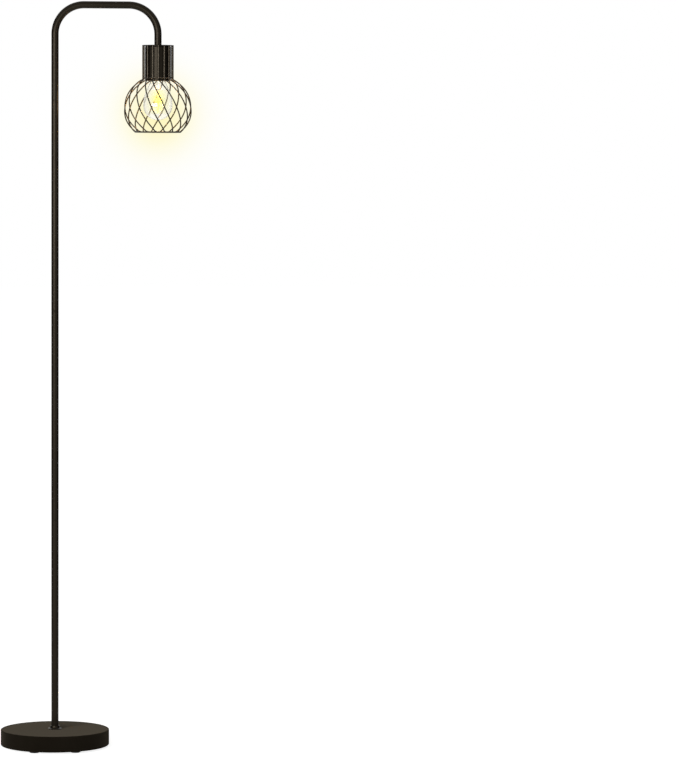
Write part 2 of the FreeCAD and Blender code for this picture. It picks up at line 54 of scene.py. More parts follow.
def placed(name, data):
    """New object in the scene, made of this mesh, light or camera."""
    thing = bpy.data.objects.new(name, data)
    scene.collection.objects.link(thing)
    return thing


# ---- View ----
# The photograph takes the whole lamp from eight metres away through a long lens, from about the height of the
# shoulders, and has it at the left of an upright frame.

VIEW_DISTANCE = 8.371
VIEW_HEIGHT = 1.307
LOOK_DOWN = 3.3385           # degrees
LOOK_RIGHT = 4.2893
VIEW_LEAN = -0.257
LENS_MM = 179.6
FRAME_MM = 36.0              # the upright side of the frame, as on the lens's scale

long_lens = bpy.data.cameras.new("long_lens")
long_lens.sensor_fit = "VERTICAL"
long_lens.sensor_height = FRAME_MM
long_lens.lens = LENS_MM
camera = placed("camera", long_lens)
camera.location = (0, -VIEW_DISTANCE, VIEW_HEIGHT)
camera.rotation_euler = [math.radians(angle) for angle in (90 - LOOK_DOWN, VIEW_LEAN, -LOOK_RIGHT)]
scene.camera = camera


# ---- Room ----
# A pale floor under a white backdrop, with one broad soft light at the front left, which draws the bright
# line down the tube and the wires. A black card at each side, which only the gloss of the coat sees, keeps
# their edges dark.

WHITE = (1.0, 1.0, 1.0, 1.0)
ROOM_LIGHT = 0.20            # plain light from all sides
FLOOR_GLOW = 0.86            # what the floor keeps of its white in full shadow
FLOOR_WHITE = (0.72, 0.72, 0.72, 1.0)
FLOOR_SIDE = 60.0
CARD_BLACK = (0.008, 0.008, 0.008, 1.0)
CARD_NEAR, CARD_FAR, CARD_TOP = -0.6, 4.0, 2.4
CARD_LEFT, CARD_RIGHT = -1.3, 1.7
SOFTBOX_PLACE = (-1.85, -3.9, 1.45)
SOFTBOX_AIM = (0.05, 0, 1.1)
SOFTBOX_WIDTH, SOFTBOX_HEIGHT = 3.8, 1.1
SOFTBOX_POWER = 160.0


class Value:
    """What a socket gives. Arithmetic on it adds Math nodes to the same tree."""

    def __init__(self, shading, socket):
        self.shading = shading
        self.socket = socket

    def worked(self, operation, *numbers):
        return self.shading.node("Math", {"operation": operation}, dict(enumerate(numbers)))

    def __add__(self, other):
        return self.worked("ADD", self, other)

    def __sub__(self, other):
        return self.worked("SUBTRACT", self, other)

    def __rsub__(self, other):
        return self.worked("SUBTRACT", other, self)

    def __mul__(self, other):
        return self.worked("MULTIPLY", self, other)

    def __rpow__(self, other):
        return self.worked("POWER", other, self)

    __radd__ = __add__
    __rmul__ = __mul__


class Shading:
    """The node tree of a material or of the world."""

    def __init__(self, owner):
        owner.use_nodes = True
        self.owner = owner
        self.tree = owner.node_tree
        self.tree.nodes.clear()

    def node(self, kind, settings=None, sockets=None, output=0):
        """Adds a node and sets it up, then gives its sockets, by name or number, their values or links."""
        made = self.tree.nodes.new("ShaderNode" + kind)
        for name, setting in (settings or {}).items():
            setattr(made, name, setting)
        for name, value in (sockets or {}).items():
            if isinstance(value, Value):
                self.tree.links.new(value.socket, made.inputs[name])
            else:
                made.inputs[name].default_value = value
        return Value(self, made.outputs[output]) if len(made.outputs) else None

    def mixed(self, share, low, high):
        """Colour on the way from low to high."""
        return self.node("Mix", {"data_type": "RGBA"}, {0: share, 6: low, 7: high}, 2)

    def spread(self, value, low, high):
        """Value from 0 at low to 1 at high, eased at both ends."""
        return self.node("MapRange", {"interpolation_type": "SMOOTHSTEP"},
                         {"Value": value, "From Min": low, "From Max": high})

    def noise(self, size, detail=2.0, stretch=(1.0, 1.0, 1.0)):
        """Cloudy value about 0.5, with clouds of this size in metres, drawn out along each axis."""
        place = self.node("TexCoord", output="Object")
        place = self.node("Mapping", None, {"Vector": place, "Scale": [1 / s for s in stretch]})
        return self.node("TexNoise", None, {"Vector": place, "Scale": 1 / size, "Detail": detail})

    def relief(self, height, depth):
        """Normal of a surface raised by height, 0 to 1, times depth in metres."""
        return self.node("Bump", None, {"Strength": 1.0, "Distance": depth, "Height": height})

    def coated(self, sockets):
        """Ends a material in one Principled surface."""
        surface = self.node("BsdfPrincipled", None, sockets)
        self.node("OutputMaterial", None, {"Surface": surface})
        return self.owner


def material(name):
    return Shading(bpy.data.materials.new(name))


def background_rays(shading):
    """1 or more for the rays that show the background: the camera's, and what gloss and glass send on."""
    camera_ray, glossy_ray, glass_ray = [shading.node("LightPath", output=f"Is {kind} Ray")
                                         for kind in ("Camera", "Glossy", "Transmission")]
    return camera_ray + glossy_ray + glass_ray


def flat_sheet(name, corners):
    """Sheet with four corners that belongs to the picture alone."""
    mesh = bpy.data.meshes.new(name)
    mesh.from_pydata(corners, [], [(0, 1, 2, 3)])
    sheet = placed(name, mesh)
    return sheet


scene.world = bpy.data.worlds.new("backdrop")
sky = Shading(scene.world)
plain_light = sky.node("Background", None, {"Color": WHITE, "Strength": ROOM_LIGHT})
white_wall = sky.node("Background", None, {"Color": WHITE, "Strength": 1.0})
backdrop = sky.node("MixShader", None, {0: background_rays(sky), 1: plain_light, 2: white_wall})
sky.node("OutputWorld", None, {"Surface": backdrop})

# The floor keeps the lamp's shadow, is white to the camera elsewhere, and lets the view through from below.
half_side = FLOOR_SIDE / 2
floor = flat_sheet("floor", [(-half_side, -half_side, 0), (half_side, -half_side, 0),
                             (half_side, half_side, 0), (-half_side, half_side, 0)])
paper = material("floor_paper")
matt = paper.node("BsdfDiffuse", None, {"Color": FLOOR_WHITE})
glow = paper.node("Emission", None, {"Color": WHITE, "Strength": FLOOR_GLOW})
shown = paper.node("AddShader", None, {0: matt, 1: glow})
top_side = paper.node("MixShader", None, {0: background_rays(paper), 1: matt, 2: shown})
clear = paper.node("BsdfTransparent")
from_below = paper.node("NewGeometry", output="Backfacing")
both_sides = paper.node("MixShader", None, {0: from_below, 1: top_side, 2: clear})
paper.node("OutputMaterial", None, {"Surface": both_sides})
floor.data.materials.append(paper.owner)

card_paint = material("card_black")
card_paint.coated({"Base Color": CARD_BLACK, "Roughness": 1.0, "Specular IOR Level": 0.0})
for name, x in (("black_card_left", CARD_LEFT), ("black_card_right", CARD_RIGHT)):
    card = flat_sheet(name, [(x, CARD_NEAR, 0), (x, CARD_FAR, 0),
                             (x, CARD_FAR, CARD_TOP), (x, CARD_NEAR, CARD_TOP)])
    card.data.materials.append(card_paint.owner)
    card.visible_camera = card.visible_diffuse = card.visible_transmission = card.visible_shadow = False

softbox_lamp = bpy.data.lights.new("front_left", "AREA")
softbox_lamp.shape = "RECTANGLE"
softbox_lamp.size, softbox_lamp.size_y = SOFTBOX_WIDTH, SOFTBOX_HEIGHT
softbox_lamp.energy = SOFTBOX_POWER
softbox = placed("front_left", softbox_lamp)
across, away, up = np.subtract(SOFTBOX_AIM, SOFTBOX_PLACE)
softbox.location = SOFTBOX_PLACE
softbox.rotation_euler = (math.pi / 2 + math.atan2(up, math.hypot(across, away)), 0,
                          math.atan2(-across, away))
softbox.visible_camera = False


# ---- Base cover ----
# Pressed steel, turned in under the lower edge, with a hole at the rear for the cord. It has the lamp's dark
# bronze powder coat, matt here, which lies in a fine orange-peel skin.

COVER_WALL = 0.0015
COVER_EDGE = 0.0025
COVER_ROLL = 0.0025
SCREW_HOLE = 0.0053
CORD_HEIGHT = 0.0165
CORD_OUTLET = 0.005
COAT_DARK = (0.0088, 0.0069, 0.0047, 1.0)
COAT_LIGHT = (0.0124, 0.0098, 0.0067, 1.0)
COAT_SHINE = (1.0, 0.85, 0.64, 1.0)
BLOOM_ROUGHNESS = 0.45
COAT_PEEL = 0.0013           # across one swelling of the skin
COAT_DEPTH = 0.000035
HOLD = 0.0004                # a row this near to a bend keeps the bend's shading off the flat beside it
MERGE = 0.000001
SHARP = math.radians(40)


def powder_coat(name, roughness, gloss, bloom=0.0):
    """Baked powder: cloudy colour, a peel of fine swellings, a roughness that varies with both, and a dusty
    bloom that shows where the view skims it."""
    coat = material(name)
    cloud = coat.noise(0.09, 3.0)
    speck = coat.noise(0.0006, 1.0)
    peel = coat.noise(COAT_PEEL, 2.0)
    shade = coat.spread(cloud * 0.6 + speck * 0.4, 0.35, 0.65)
    return coat.coated({
        "Base Color": coat.mixed(shade, COAT_DARK, COAT_LIGHT),
        "Roughness": roughness + 0.10 * (peel - 0.5) + 0.06 * (cloud - 0.5),
        "Specular IOR Level": gloss,
        "Specular Tint": COAT_SHINE,
        "Sheen Weight": bloom,
        "Sheen Roughness": BLOOM_ROUGHNESS,
        "Sheen Tint": COAT_SHINE,
        "Normal": coat.relief(peel + 0.35 * speck, COAT_DEPTH)})


matt_bronze = powder_coat("matt_bronze", roughness=0.60, gloss=0.0, bloom=0.13)
satin_bronze = powder_coat("satin_bronze", roughness=0.27, gloss=0.11)


def rounded(*corners, closed=True, steps=6):
    """Outline of (radius, height) points through (radius, height, bend) corners, where a bend is the radius
    of an arc that touches both sides.

    With m the arc's middle, a and b its ends and t its turn, the point at share s of it is
    m + (a - m) sin((1 - s) t) / sin t + (b - m) sin(s t) / sin t. A closed outline comes back to its start.
    """
    share = np.linspace(0, 1, steps + 1)[:, None]
    places = [np.array(corner[:2], float) for corner in corners]
    parts = []
    for i, corner in enumerate(corners):
        bend = corner[2] if len(corner) > 2 else 0
        if not bend:
            parts.append(places[i][None])
            continue
        sides = [place - places[i] for place in (places[i - 1], places[(i + 1) % len(places)])]
        first, second = [side / np.linalg.norm(side) for side in sides]
        half = math.acos(np.clip(first @ second, -1, 1)) / 2
        middle = places[i] + (first + second) / np.linalg.norm(first + second) * bend / math.sin(half)
        start, end = [places[i] + side * bend / math.tan(half) - middle for side in (first, second)]
        turn = math.pi - 2 * half
        sweep = start * np.sin((1 - share) * turn) + end * np.sin(share * turn)
        parts.append(middle + sweep / math.sin(turn))
    outline = np.concatenate(parts)
    after = np.roll(outline, -1, axis=0)
    length = np.linalg.norm(after - outline, axis=1)[:, None]
    step = (after - outline) / np.maximum(length, MERGE) * HOLD
    rows = np.stack([outline, outline + step, after - step], axis=1)
    kept = np.broadcast_to(length > 4 * HOLD, (len(outline), 3)).copy()
    kept[:, 0] = True
    if not closed:
        kept[-1, 1:] = False
    rows = rows[kept]
    return np.concatenate([rows, rows[:1]]) if closed else rows


def round_axis(radius, angle, height, middle=(0.0, 0.0)):
    """Points at these distances and angles round an upright axis, and at these heights."""
    return np.stack(np.broadcast_arrays(
        middle[0] + radius * np.cos(angle), middle[1] + radius * np.sin(angle), height), axis=-1)


def turned(outline, facets=128, middle=(0.0, 0.0), ripple=None):
    """Patch of a turned piece: the point (r, z) of its outline, at angle a, stands at
    (x + r cos a, y + r sin a, z).

    A ripple adds its own value of (z, a) to r, as a thread does.
    """
    radius, height = np.asarray(outline).T[:, :, None]
    angle = np.arange(facets) * (2 * np.pi / facets)
    if ripple:
        radius = radius + ripple(height, angle)
    return round_axis(radius, angle, height, middle)


def drawn(path, radius, side, facets=24):
    """Patch of a round bar along a path: a ring about each point p, in the plane square to the heading t.

    With n the unit vector nearest to side in that plane, the ring's point at angle a is
    p + r (n cos a + (t x n) sin a). The radius may differ from row to row and round the ring.
    """
    heading = np.gradient(path, axis=0)
    heading /= np.linalg.norm(heading, axis=1)[:, None]
    side = np.broadcast_to(side, path.shape)
    normal = side - np.sum(side * heading, axis=1)[:, None] * heading
    normal /= np.linalg.norm(normal, axis=1)[:, None]
    across = np.cross(heading, normal)
    angle = (np.arange(facets) * (2 * np.pi / facets))[None, :, None]
    radius = np.broadcast_to(np.asarray(radius, float).reshape(-1, 1) if np.ndim(radius) < 2 else radius,
                             (len(path), facets))[:, :, None]
    return path[:, None] + radius * (normal[:, None] * np.cos(angle) + across[:, None] * np.sin(angle))


def capped(patch):
    """Patch closed at each end by the middle of its end ring."""
    ends = [np.broadcast_to(row.mean(axis=0), row.shape)[None] for row in (patch[0], patch[-1])]
    return np.concatenate([ends[0], patch, ends[1]])


def walled(outside, inside):
    """Patch of a wall: along the outside, back along the inside, and closed on its first ring."""
    return np.concatenate([outside, inside[::-1], outside[:1]])


def piece_of(name, *patches):
    """New piece that spans patches, which are grids of points whose columns run once round.

    Merging doubles closes the seams, and the poles where a whole row stands in one point.
    """
    points, faces, start = [], [], 0
    for patch in patches:
        rows, columns = patch.shape[:2]
        number = start + np.arange(rows * columns).reshape(rows, columns)
        beside = np.roll(number, -1, axis=1)
        faces.append(np.stack([number[:-1], beside[:-1], beside[1:], number[1:]], axis=-1).reshape(-1, 4))
        points.append(patch.reshape(-1, 3))
        start += rows * columns
    mesh = bpy.data.meshes.new(name)
    mesh.from_pydata(np.concatenate(points), [], np.concatenate(faces))
    skin = bmesh.new()
    skin.from_mesh(mesh)
    bmesh.ops.remove_doubles(skin, verts=skin.verts, dist=MERGE)
    bmesh.ops.recalc_face_normals(skin, faces=skin.faces)
    skin.to_mesh(mesh)
    skin.free()
    mesh.shade_smooth()
    mesh.set_sharp_from_angle(angle=SHARP)
    return placed(name, mesh)


def bored(piece, start, end, radius):
    """Cuts a round hole through a piece, from one point to another."""
    path = np.array([start, end], float)
    drill = piece_of(piece.name + "_drill", capped(drawn(path, radius, (0, 0, 1), 48)))
    cut = piece.modifiers.new("hole", "BOOLEAN")
    cut.object = drill
    cut.solver = "EXACT"
    cut.operation = "DIFFERENCE"
    bpy.context.view_layer.update()
    piece.data = bpy.data.meshes.new_from_object(piece.evaluated_get(bpy.context.evaluated_depsgraph_get()))
    piece.modifiers.clear()
    piece.data.set_sharp_from_angle(angle=SHARP)
    bpy.data.objects.remove(drill)


def fitted(piece, finish, slot, *nodes, body="lamp"):
    """Gives a piece its finish and its place in the lamp, where it stands for these CAD nodes."""
    piece.data.materials.append(finish)
    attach(piece, body)
    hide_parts(*nodes)
    return piece


def refinished(finish, *nodes):
    """Gives CAD nodes that stay as they are their finish."""
    for node in nodes:
        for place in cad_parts[node].material_slots:
            place.material = finish


cover_low, cover_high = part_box("base_cover")
cover_r, cover_top, cover_bottom = cover_high.x, cover_high.z, cover_low.z
lip_r, inner_r = cover_r - COVER_ROLL, cover_r - COVER_WALL
pressed_cover = piece_of("pressed_cover", turned(rounded(
    (SCREW_HOLE, cover_top), (cover_r, cover_top, COVER_EDGE), (cover_r, cover_bottom, COVER_ROLL),
    (lip_r, cover_bottom), (lip_r, cover_bottom + COVER_WALL),
    (inner_r, cover_bottom + COVER_WALL, COVER_ROLL - COVER_WALL),
    (inner_r, cover_top - COVER_WALL, COVER_EDGE - COVER_WALL), (SCREW_HOLE, cover_top - COVER_WALL)), 256))
bored(pressed_cover, (0, cover_r - 0.01, CORD_HEIGHT), (0, cover_r + 0.01, CORD_HEIGHT), CORD_OUTLET)
fitted(pressed_cover, matt_bronze, "bronze_coat", "base_cover")


# ---- Filling and bottom sheet ----
# The weight is cement cast into the cover, so it has the grey of dry mortar with sand grains and pinholes.
# Shade is painted into the pinholes as a darker colour.
# A black painted steel sheet is glued over it, with a hole under the clamping nut and a pocket for each foot.

MORTAR_DARK = (0.25, 0.245, 0.235, 1.0)
MORTAR_LIGHT = (0.44, 0.43, 0.41, 1.0)
PINHOLE_PAINTED_SHADE = (0.10, 0.10, 0.095, 1.0)
PINHOLES_PER_M = 260.0
SHEET_PAINT = (0.016, 0.016, 0.017, 1.0)
SHEET_SCUFF = (0.023, 0.023, 0.022, 1.0)

mortar = material("dry_mortar")
blotch = mortar.noise(0.012, 4.0)
sand = mortar.noise(0.0009, 2.0)
# Painted shade: the pinholes are coloured darker, and they also dip in the relief.
pinholes_and_shade = 1 - mortar.spread(mortar.node("TexVoronoi", None, {
    "Vector": mortar.node("TexCoord", output="Object"), "Scale": PINHOLES_PER_M}), 0.10, 0.22)
mortar_colour = mortar.mixed(mortar.spread(blotch * 0.6 + sand * 0.4, 0.35, 0.65), MORTAR_DARK, MORTAR_LIGHT)
refinished(mortar.coated({
    "Base Color": mortar.mixed(pinholes_and_shade, mortar_colour, PINHOLE_PAINTED_SHADE),
    "Roughness": 0.86 + 0.1 * (sand - 0.5),
    "Specular IOR Level": 0.3,
    "Normal": mortar.relief(sand - pinholes_and_shade, 0.00025)}), "base_filling")

sheet_paint = material("black_sheet_paint")
grain = sheet_paint.noise(0.0008, 2.0)
scuff = sheet_paint.spread(sheet_paint.noise(0.004, 4.0, (9.0, 1.0, 1.0)), 0.58, 0.72)
refinished(sheet_paint.coated({
    "Base Color": sheet_paint.mixed(scuff, SHEET_PAINT, SHEET_SCUFF),
    "Roughness": 0.48 + 0.08 * scuff + 0.1 * (grain - 0.5),
    "Specular IOR Level": 0.35,
    "Normal": sheet_paint.relief(grain, 0.00002)}), "base_plate")


# ---- Feet ----
# Six moulded rubber discs, glued into the pockets of the bottom sheet. Each has a shallow dish in its sole.

FOOT_R = 0.011
FOOT_DISH_R = 0.0055
FOOT_DISH_DEPTH = 0.0011
FOOT_EDGE = 0.0008
FOOT_COUNT = 6


def rubber(name, dark, dust):
    """Moulded rubber, dull and a little dusty, with the fine pitting of its mould."""
    gum = material(name)
    pitting = gum.noise(0.0005, 2.0)
    dusty = gum.spread(gum.noise(0.006, 3.0), 0.4, 0.7)
    return gum.coated({
        "Base Color": gum.mixed(dusty * 0.7, dark, dust),
        "Roughness": 0.68 + 0.14 * dusty + 0.1 * (pitting - 0.5),
        "Specular IOR Level": 0.35,
        "Normal": gum.relief(pitting, 0.00004)})


feet_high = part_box("base_feet")[1]
foot_circle = feet_high.x - FOOT_R
sole = rounded(
    (0, FOOT_DISH_DEPTH), (FOOT_DISH_R, FOOT_DISH_DEPTH, 0.0004), (FOOT_DISH_R + 0.0006, 0, 0.0003),
    (FOOT_R - 0.001, 0, 0.0003), (FOOT_R, 0.001, FOOT_EDGE), (FOOT_R, feet_high.z, 0.0003), (0, feet_high.z),
    closed=False)
foot_angles = np.arange(FOOT_COUNT) * (2 * np.pi / FOOT_COUNT)
rubber_feet = piece_of("rubber_feet", *[
    turned(sole, 64, (foot_circle * math.cos(angle), foot_circle * math.sin(angle)))
    for angle in foot_angles])
fitted(rubber_feet, rubber("foot_rubber", (0.014, 0.014, 0.014, 1.0), (0.035, 0.034, 0.032, 1.0)),
       "foot_rubber", "base_feet")


# ---- Clamp of pole and base ----
# A hollow threaded stud runs from the pole down through collar, cover and filling, and a nut with a washer
# draws them together from below. Stud, nut and washer are zinc plated, the flared collar is coated.

NUT_CHAMFER = 0.0007
NUT_HOLE = 0.005
COLLAR_BRIM = 0.0014
COLLAR_THROAT_R = 0.0106
COLLAR_RIM_R = 0.0096
COLLAR_BORE = 0.0081
COLLAR_FLOOR = 0.002

zinc = material("zinc_plate")
haze = zinc.noise(0.007, 3.0)
spangle = zinc.noise(0.0009, 2.0)
zinc_plate = zinc.coated({
    "Base Color": zinc.mixed(haze, (0.50, 0.50, 0.49, 1.0), (0.66, 0.64, 0.58, 1.0)),
    "Metallic": 1.0,
    "Roughness": 0.30 + 0.18 * haze + 0.1 * (spangle - 0.5),
    "Normal": zinc.relief(spangle, 0.00001)})


def hexagonal(apothem, low, high, angle):
    """Radius of a chamfered nut at its heights: the hexagon's, apothem / cos(angle from the flat's middle),
    or the chamfer cone's where that is less, so that each corner is cut in a curve."""
    from_flat = angle % (np.pi / 3) - np.pi / 6
    corner = apothem / math.cos(np.pi / 6)
    height = np.array([low, low, low + NUT_CHAMFER / 2, low + NUT_CHAMFER, low + 2 * NUT_CHAMFER])
    height = np.concatenate([height, low + high - height[::-1]])[:, None]
    depth = np.minimum(height - low, high - height)
    cone = corner - NUT_CHAMFER * 1.6 + depth * 1.6
    return np.minimum(apothem / np.cos(from_flat), cone), height


def nut(low, high, apothem, hole_r, middle=(0.0, 0.0), facets=144):
    """Patch of a hexagonal nut: in along its hole, out over its foot and round its flats and chamfers."""
    angle = np.arange(facets) * (2 * np.pi / facets)
    outside, height = hexagonal(apothem, low, high, angle)
    hole = np.full((2, facets), hole_r)
    radius = np.concatenate([hole[:1], outside, hole, hole[:1]])
    height = np.concatenate([[[low]], height, [[high]], [[high]], [[low]]])
    return round_axis(radius, angle, height, middle)


nut_low, nut_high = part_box("base_nut")
clamp_nut = piece_of("clamp_nut", nut(nut_low.z, nut_high.z, nut_high.y, NUT_HOLE))
fitted(clamp_nut, zinc_plate, "zinc_steel", "base_nut")

washer_low, washer_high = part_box("base_washer")
clamp_washer = piece_of("clamp_washer", turned(rounded(
    (SCREW_HOLE, washer_low.z), (washer_high.x, washer_low.z, 0.0006), (washer_high.x, washer_high.z),
    (SCREW_HOLE, washer_high.z)), 96))
fitted(clamp_washer, zinc_plate, "zinc_steel", "base_washer")
refinished(zinc_plate, "base_stud")

collar_low, collar_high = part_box("base_collar")
collar_r, collar_foot, collar_top = collar_high.x, collar_low.z, collar_high.z
collar_floor = collar_foot + COLLAR_FLOOR
flared_collar = piece_of("flared_collar", turned(rounded(
    (SCREW_HOLE, collar_foot), (collar_r, collar_foot, 0.0003), (collar_r, collar_foot + COLLAR_BRIM, 0.0005),
    (COLLAR_THROAT_R, collar_foot + 0.0026, 0.0035), (COLLAR_RIM_R, collar_top - 0.0004, 0.0004),
    (COLLAR_RIM_R - 0.0005, collar_top), (COLLAR_BORE, collar_top), (COLLAR_BORE, collar_floor),
    (SCREW_HOLE, collar_floor)), 128))
fitted(flared_collar, satin_bronze, "bronze_coat", "base_collar")


# ---- Cord grommet ----
# A soft bush pushed into the hole at the rear of the cover. Its flanges bend to the cover's curve.

GROMMET_BORE = 0.00325
GROMMET_NECK = 0.005
GROMMET_FLANGE = 0.007

bush_low, bush_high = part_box("cord_grommet")
bush = turned(rounded(
    (GROMMET_BORE, bush_low.y, 0.0006), (GROMMET_FLANGE, bush_low.y, 0.0006),
    (GROMMET_FLANGE, inner_r, 0.0003), (GROMMET_NECK, inner_r), (GROMMET_NECK, cover_r),
    (GROMMET_FLANGE, cover_r, 0.0003), (GROMMET_FLANGE, bush_high.y, 0.0009),
    (GROMMET_BORE, bush_high.y, 0.0007)), 64)[..., [0, 2, 1]]
bush[..., 1] += np.sqrt(cover_r ** 2 - bush[..., 0] ** 2) - cover_r
bush[..., 2] += CORD_HEIGHT
cord_bush = piece_of("cord_bush", bush)
fitted(cord_bush, rubber("bush_rubber", (0.012, 0.012, 0.012, 1.0), (0.024, 0.024, 0.023, 1.0)),
       "grommet_rubber", "cord_grommet")


# ---- Pole ----
# Three straight lengths of coated steel tube. A threaded plug is rolled into each end, and the lower plug at
# a seam has a flange, so a seam shows as a slim ring between two fine grooves.

TUBE_WALL = 0.0012
TUBE_CHAMFER = 0.0005
PLUG_LENGTH = 0.014
PLUG_HOLE = 0.005
SEAM_FLANGE = 0.0018

tube_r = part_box("pole_lower")[1].x
bore_r = tube_r - TUBE_WALL


def chamfered_tube(low, high):
    return rounded(
        (bore_r, low), (tube_r - TUBE_CHAMFER, low, 0.0001), (tube_r, low + TUBE_CHAMFER, 0.0003),
        (tube_r, high - TUBE_CHAMFER, 0.0003), (tube_r - TUBE_CHAMFER, high, 0.0001), (bore_r, high))


seams = []
for name, node in (("lower_tube", "pole_lower"), ("middle_tube", "pole_middle"),
                   ("upper_tube", "pole_upper")):
    low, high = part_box(node)
    seams.append(high.z + SEAM_FLANGE / 2)
    tube = piece_of(name, turned(chamfered_tube(low.z, high.z), 96))
    fitted(tube, satin_bronze, "bronze_coat", node)


# ---- Arm ----
# One length of the same tube, bent twice through a quarter turn over a former, and cut square at the head.

BEND_R = 0.064
BEND_STEPS = 40

arm_low, arm_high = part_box("arm_bend")
head_x = (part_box("cage_top_plate")[0].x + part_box("cage_top_plate")[1].x) / 2


def arm_line(low, head_low):
    """Middle line of the arm: up, a quarter circle, across, a quarter circle and down to the head."""
    turn = np.linspace(0, np.pi / 2, BEND_STEPS + 1)
    bend_z = arm_high.z - tube_r - BEND_R
    along = BEND_R * (1 - np.cos(turn))
    up = bend_z + BEND_R * np.sin(turn)
    rise = np.array([low, low + HOLD, low + TUBE_CHAMFER, low + TUBE_CHAMFER + HOLD, bend_z - HOLD])
    drop = np.array([bend_z - HOLD, head_low + HOLD, head_low])
    x = np.concatenate([rise * 0, along, head_x - along[::-1], drop * 0 + head_x])
    z = np.concatenate([rise, up, up[::-1], drop])
    return np.stack([x, x * 0, z], axis=1)


arm_path = arm_line(arm_low.z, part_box("cage_top_plate")[1].z)
arm_outside = np.full(len(arm_path), tube_r)
arm_outside[:2] = tube_r - TUBE_CHAMFER, tube_r - TUBE_CHAMFER + HOLD
bent_tube = piece_of("bent_tube", walled(
    drawn(arm_path, arm_outside, (0, 1, 0), 96), drawn(arm_path, bore_r, (0, 1, 0), 96)))
fitted(bent_tube, satin_bronze, "bronze_coat", "arm_bend")

plugs = [((PLUG_HOLE, collar_floor), (bore_r, collar_floor),
          (bore_r, collar_floor + PLUG_LENGTH), (PLUG_HOLE, collar_floor + PLUG_LENGTH))]
for seam in seams:
    low, high = seam - SEAM_FLANGE / 2, seam + SEAM_FLANGE / 2
    plugs.append(((PLUG_HOLE, low - PLUG_LENGTH), (bore_r, low - PLUG_LENGTH), (bore_r, low),
                  (tube_r, low, 0.0002), (tube_r, high, 0.0002), (PLUG_HOLE, high)))
    plugs.append(((PLUG_HOLE, high), (bore_r, high),
                  (bore_r, high + PLUG_LENGTH), (PLUG_HOLE, high + PLUG_LENGTH)))
head_top = arm_path[-1, 2]
head_plug = turned(rounded((PLUG_HOLE, head_top), (bore_r, head_top), (bore_r, head_top + PLUG_LENGTH),
                           (PLUG_HOLE, head_top + PLUG_LENGTH)), 96, (head_x, 0))
tube_plugs = piece_of("tube_plugs", head_plug, *[turned(rounded(*plug), 96) for plug in plugs])
fitted(tube_plugs, satin_bronze, "bronze_coat", "tube_inserts")
refinished(zinc_plate, "pole_nipples")


# ---- Lead ----
# Round mains lead from behind the grommet, along the channel in the filling, up the pole and over the arm to
# the socket. Its black sheath has a dull, faintly wrinkled skin.

LEAD_R = 0.0025
LEAD_BEND = 0.0135
LEAD_BEND_TOP = 0.024
LEAD_START = 0.111

sheath = material("lead_sheath")
wrinkle = sheath.noise(0.0012, 2.0)
lead_sheath = sheath.coated({
    "Base Color": sheath.mixed(wrinkle, (0.012, 0.012, 0.012, 1.0), (0.022, 0.022, 0.022, 1.0)),
    "Roughness": 0.5 + 0.16 * (wrinkle - 0.5),
    "Normal": sheath.relief(wrinkle, 0.00003)})

sight_y, sight_z = LEAD_START - LEAD_BEND, CORD_HEIGHT - LEAD_BEND_TOP
slant = math.asin(LEAD_BEND / math.hypot(sight_y, sight_z)) + math.atan2(sight_z, sight_y)
bend = np.linspace(1.5 * math.pi + slant, math.pi, 25)
inlet_y = np.concatenate([[LEAD_START], LEAD_BEND + LEAD_BEND * np.cos(bend)])
inlet_z = np.concatenate([[CORD_HEIGHT], LEAD_BEND_TOP + LEAD_BEND * np.sin(bend)])
inlet = np.stack([inlet_y * 0, inlet_y, inlet_z], axis=1)
socket_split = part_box("socket_cap")[0].z
lead_path = np.concatenate([inlet, arm_line(LEAD_BEND_TOP + HOLD, socket_split + 0.003)])
lead = piece_of("mains_lead", capped(drawn(lead_path[:len(inlet)], LEAD_R, (1, 0, 0), 24)),
                capped(drawn(lead_path[len(inlet) - 1:], LEAD_R, (0, 1, 0), 24)))
fitted(lead, lead_sheath, "lead_sheath", "lead_wire")


# ---- Top plate of the head ----
# A laser-cut steel disc that the arm is screwed down on. The cage wires are welded under its edge.

plate_low, plate_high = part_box("cage_top_plate")
plate_r = (plate_high.x - plate_low.x) / 2
head = (head_x, 0.0)
cage_disc = piece_of("cage_disc", turned(rounded(
    (SCREW_HOLE, plate_low.z), (plate_r, plate_low.z, 0.0002), (plate_r, plate_high.z, 0.0004),
    (SCREW_HOLE, plate_high.z)), 192, head))
fitted(cage_disc, satin_bronze, "bronze_coat", "cage_top_plate")


# ---- Cage wires ----
# Sixteen steel wires, straight down the neck and bent out at its foot, then slanting round the globe as they
# fall to the rim ring. They are welded at both ends, and their coat is glossier than the tube's.

WIRE_R = 0.0014
WIRE_COUNT = 16
FIRST_WIRE = math.radians(-89.5)
GLOBE_R = 0.0739
RIM_R = 0.050
EQUATOR_RISE = 0.0495        # above the rim ring
NECK_RISE = 0.1158
TWIST = math.radians(60)
TWIST_EASE = 0.19
BEND_START = 0.0015          # the bend at the neck starts this far above the globe
BEND_SHARE = 0.05            # and takes this share of the wire's way round it
WELD_R = 0.0009

wire_coat = powder_coat("glossy_bronze", roughness=0.28, gloss=0.45)
neck_r = plate_r - WIRE_R
rim_low, rim_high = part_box("cage_rim_ring")
rim_z = (rim_low.z + rim_high.z) / 2
neck_z, equator_z = rim_z + NECK_RISE, rim_z + EQUATOR_RISE


